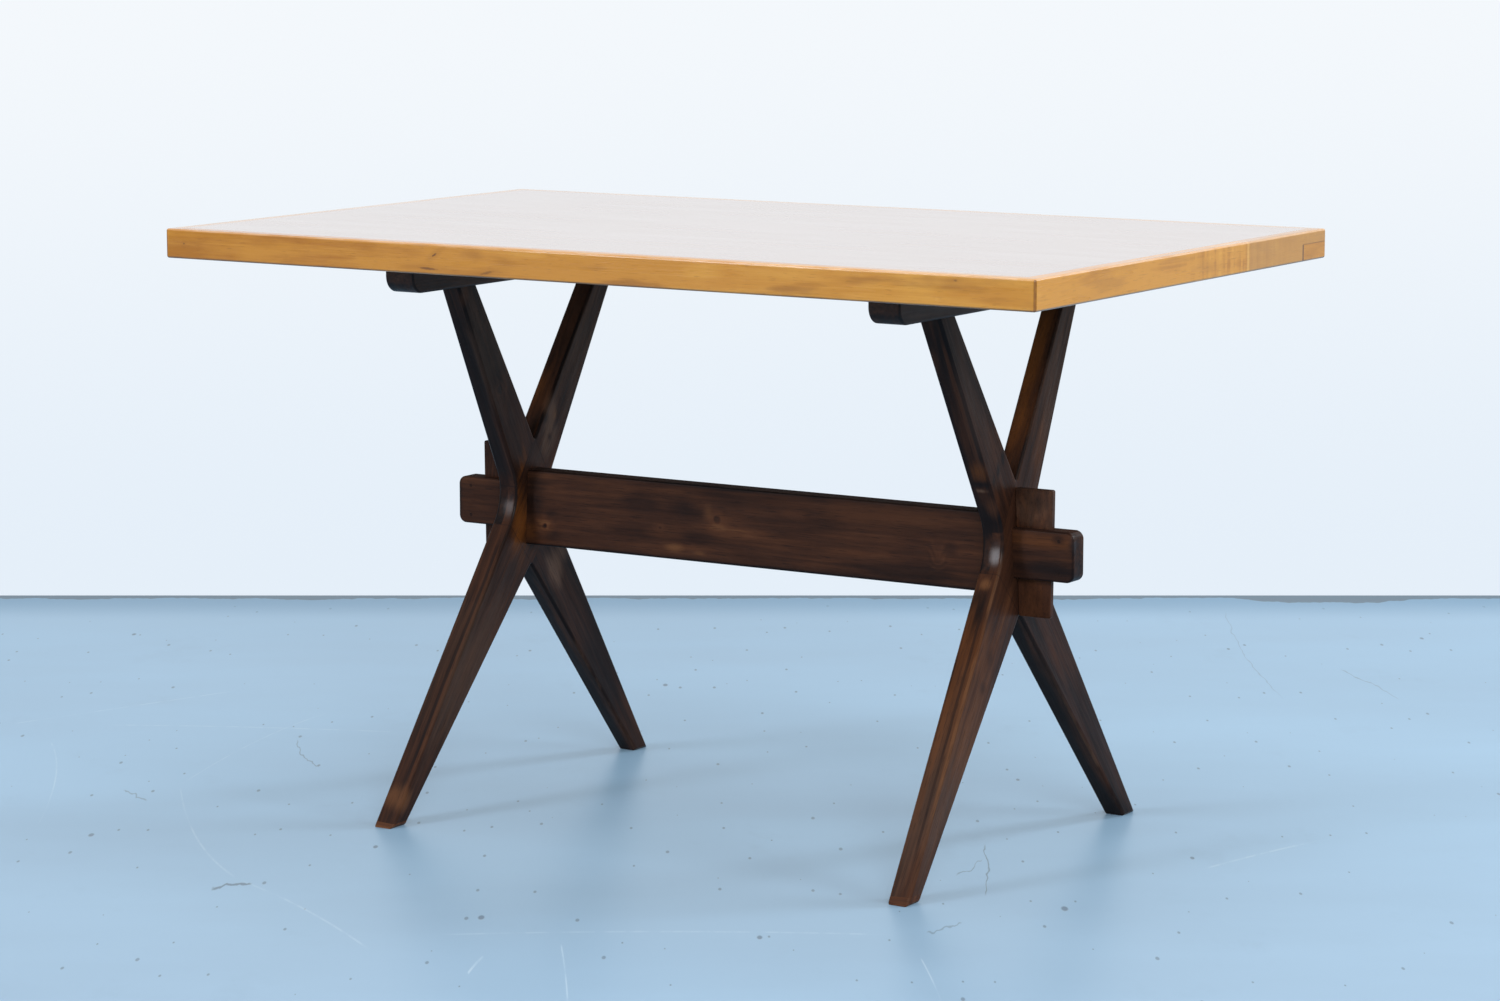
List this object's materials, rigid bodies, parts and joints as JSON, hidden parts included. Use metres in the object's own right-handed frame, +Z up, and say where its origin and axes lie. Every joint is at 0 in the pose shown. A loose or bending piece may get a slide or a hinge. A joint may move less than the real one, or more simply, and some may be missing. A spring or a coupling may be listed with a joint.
{
  "type": "sawbuck table",
  "caption": "Rectangular dining table: a veneered top with mitred solid edging on two splayed X-shaped trestles, joined by a stretcher with keyed through tenons.",
  "frame": {"origin": "on the floor, below the centre of the top", "axes": "+Z up, +X along the top's long side, +Y along its short side; the front long side faces -Y"},
  "size_m": [1.2, 0.75, 0.735],
  "materials": {
    "top_veneer": "pale honey veneer under clear satin lacquer",
    "edge_wood": "orange-brown solid wood, satin lacquer",
    "core_board": "plain board",
    "dark_wood": "dark walnut stain, worn satin varnish",
    "key_wood": "red-brown stain, satin varnish",
    "tip_wood": "bare wood, rubbed",
    "screw_steel": "dull steel"
  },
  "bodies": {
    "table": {"top_panel": "core_board", "top_veneer": "top_veneer", "underside_veneer": "top_veneer", "lipping_front": "edge_wood", "lipping_back": "edge_wood", "lipping_left": "edge_wood", "lipping_right": "edge_wood", "lipping_patch": "edge_wood", "cleat_left": "dark_wood", "cleat_right": "dark_wood", "cleat_screws_left": "screw_steel", "cleat_screws_right": "screw_steel", "leg_left_front": "dark_wood", "leg_left_back": "dark_wood", "leg_right_front": "dark_wood", "leg_right_back": "dark_wood", "foot_tip_left_front": "tip_wood", "foot_tip_right_front": "tip_wood", "stretcher": "dark_wood", "tenon_pins_left": "key_wood", "tenon_pins_right": "key_wood"},
    "key_left": {"key_left": "key_wood"},
    "key_right": {"key_right": "key_wood"}
  },
  "joints": [
    {"name": "key_left_lift", "type": "slide", "parent": "table", "child": "key_left", "axis": [0, 0, 1], "range_m": [0, 0.115]},
    {"name": "key_right_lift", "type": "slide", "parent": "table", "child": "key_right", "axis": [0, 0, 1], "range_m": [0, 0.115]}
  ]
}
